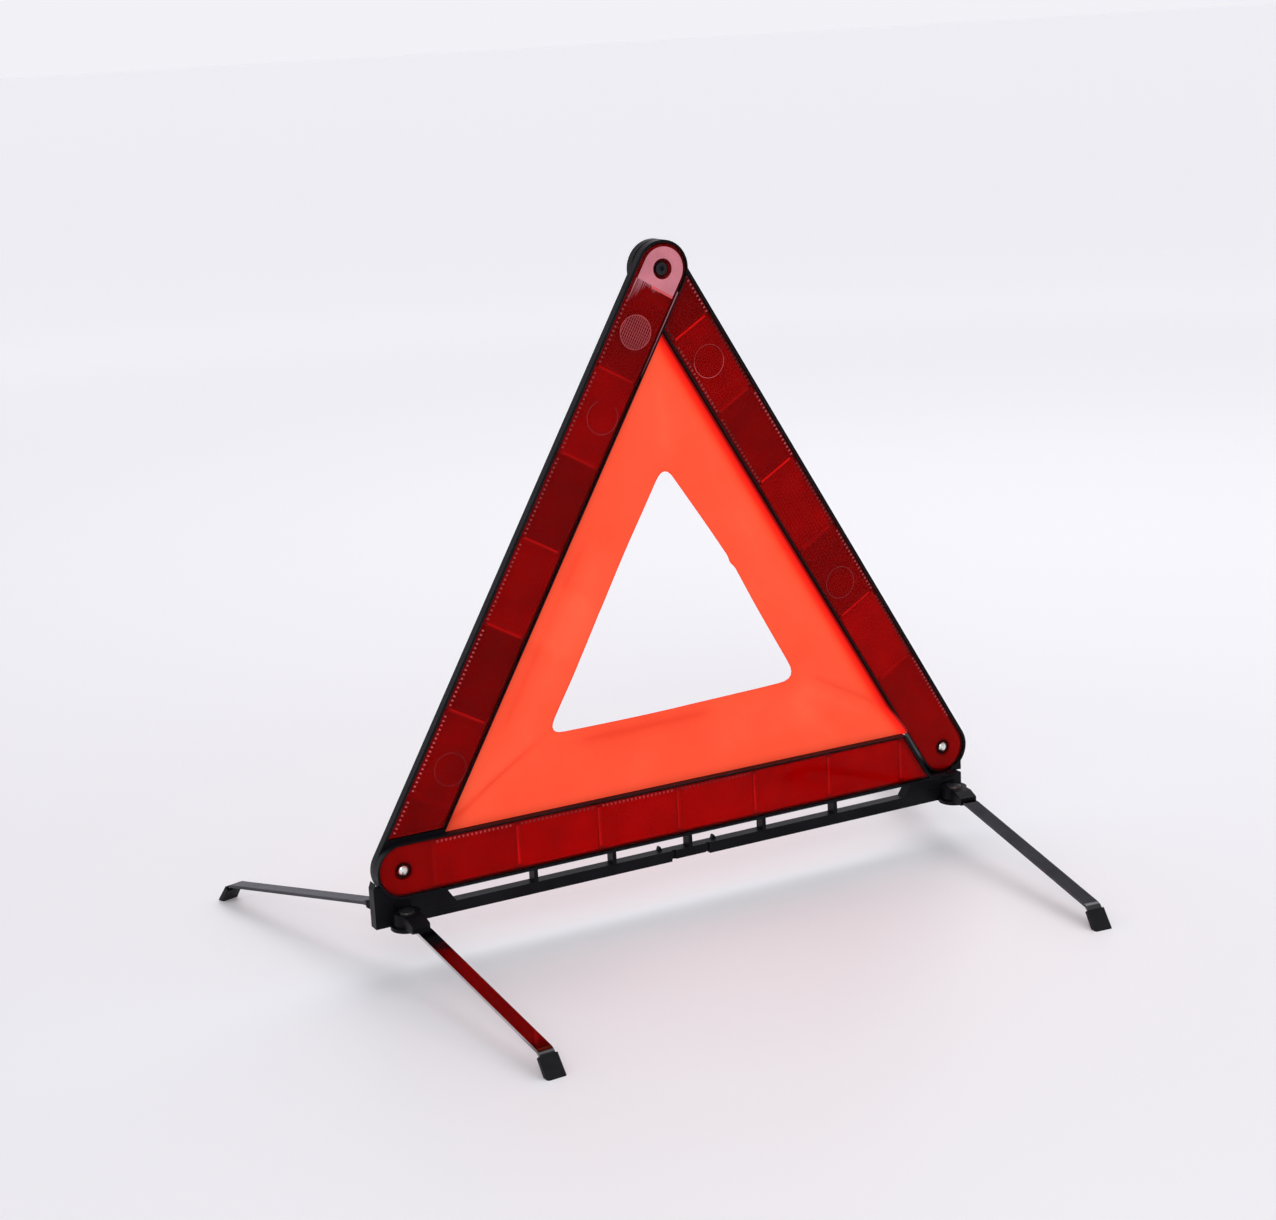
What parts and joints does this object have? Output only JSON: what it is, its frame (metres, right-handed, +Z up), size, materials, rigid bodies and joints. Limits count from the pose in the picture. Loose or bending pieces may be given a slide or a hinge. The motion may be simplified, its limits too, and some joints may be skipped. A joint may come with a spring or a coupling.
{
  "type": "warning triangle",
  "caption": "Folding roadside warning triangle: red reflector bars and an orange fabric ring on a slotted black base with swivel legs.",
  "frame": {"origin": "centre of the standing footprint, on the ground", "axes": "+X right seen from the front, +Y to the back, +Z up"},
  "size_m": [0.5222, 0.382, 0.4296],
  "materials": {
    "black_plastic": "fine satin moulded",
    "red_lens": "clear red prismatic",
    "reflector_back": "metallised",
    "orange_fabric": "fluorescent woven",
    "painted_steel": "gloss black",
    "foot_rubber": "matt",
    "rivet_steel": "bright plated",
    "stud_plastic": "gloss"
  },
  "bodies": {
    "base": {"base_frame": "black_plastic", "base_lens": "red_lens", "base_back_plate": "reflector_back", "base_clamp_strip": "black_plastic", "left_arm_rivet": "rivet_steel", "left_arm_washer": "rivet_steel", "right_arm_rivet": "rivet_steel", "right_arm_washer": "rivet_steel", "warning_panel": "orange_fabric", "front_left_leg_rivet": "rivet_steel", "front_right_leg_rivet": "rivet_steel", "rear_left_leg_rivet": "rivet_steel", "rear_right_leg_rivet": "rivet_steel", "front_left_leg_washer": "rivet_steel", "front_right_leg_washer": "rivet_steel", "rear_left_leg_washer": "rivet_steel", "rear_right_leg_washer": "rivet_steel"},
    "left_arm": {"left_arm_frame": "black_plastic", "left_arm_lens": "red_lens", "left_arm_back_plate": "reflector_back", "left_arm_clamp_strip": "black_plastic", "catch_stud": "stud_plastic"},
    "right_arm": {"right_arm_frame": "black_plastic", "right_arm_lens": "red_lens", "right_arm_back_plate": "reflector_back", "right_arm_clamp_strip": "black_plastic"},
    "front_left_leg": {"front_left_leg_strip": "painted_steel", "front_left_leg_knuckle": "black_plastic", "front_left_foot": "foot_rubber"},
    "front_right_leg": {"front_right_leg_strip": "painted_steel", "front_right_leg_knuckle": "black_plastic", "front_right_foot": "foot_rubber"},
    "rear_left_leg": {"rear_left_leg_strip": "painted_steel", "rear_left_leg_knuckle": "black_plastic", "rear_left_foot": "foot_rubber"},
    "rear_right_leg": {"rear_right_leg_strip": "painted_steel", "rear_right_leg_knuckle": "black_plastic", "rear_right_foot": "foot_rubber"}
  },
  "joints": [
    {"name": "left_arm_fold", "type": "hinge", "parent": "base", "child": "left_arm", "pos_m": [-0.2, 0.00427, 0.0655], "axis": [0, 1, 0], "range_deg": [0, 60], "deforming": ["warning_panel"]},
    {"name": "right_arm_fold", "type": "hinge", "parent": "base", "child": "right_arm", "pos_m": [0.2065, 0.01177, 0.0635], "axis": [0, 1, 0], "range_deg": [-59.34, 0]},
    {"name": "front_left_leg_swing", "type": "hinge", "parent": "base", "child": "front_left_leg", "pos_m": [-0.202, -0.00803, 0.0354], "axis": [0, 0, 1], "range_deg": [0, 86.6]},
    {"name": "front_right_leg_swing", "type": "hinge", "parent": "base", "child": "front_right_leg", "pos_m": [0.202, -0.00803, 0.0354], "axis": [0, 0, 1], "range_deg": [-85, 0]},
    {"name": "rear_left_leg_swing", "type": "hinge", "parent": "base", "child": "rear_left_leg", "pos_m": [-0.202, 0.01447, 0.0354], "axis": [0, 0, 1], "range_deg": [-107, 0]},
    {"name": "rear_right_leg_swing", "type": "hinge", "parent": "base", "child": "rear_right_leg", "pos_m": [0.202, 0.01447, 0.0354], "axis": [0, 0, 1], "range_deg": [0, 107]}
  ],
  "couplings": [
    {"joint": "right_arm_fold", "follows": "left_arm_fold", "ratio": -0.98908}
  ]
}
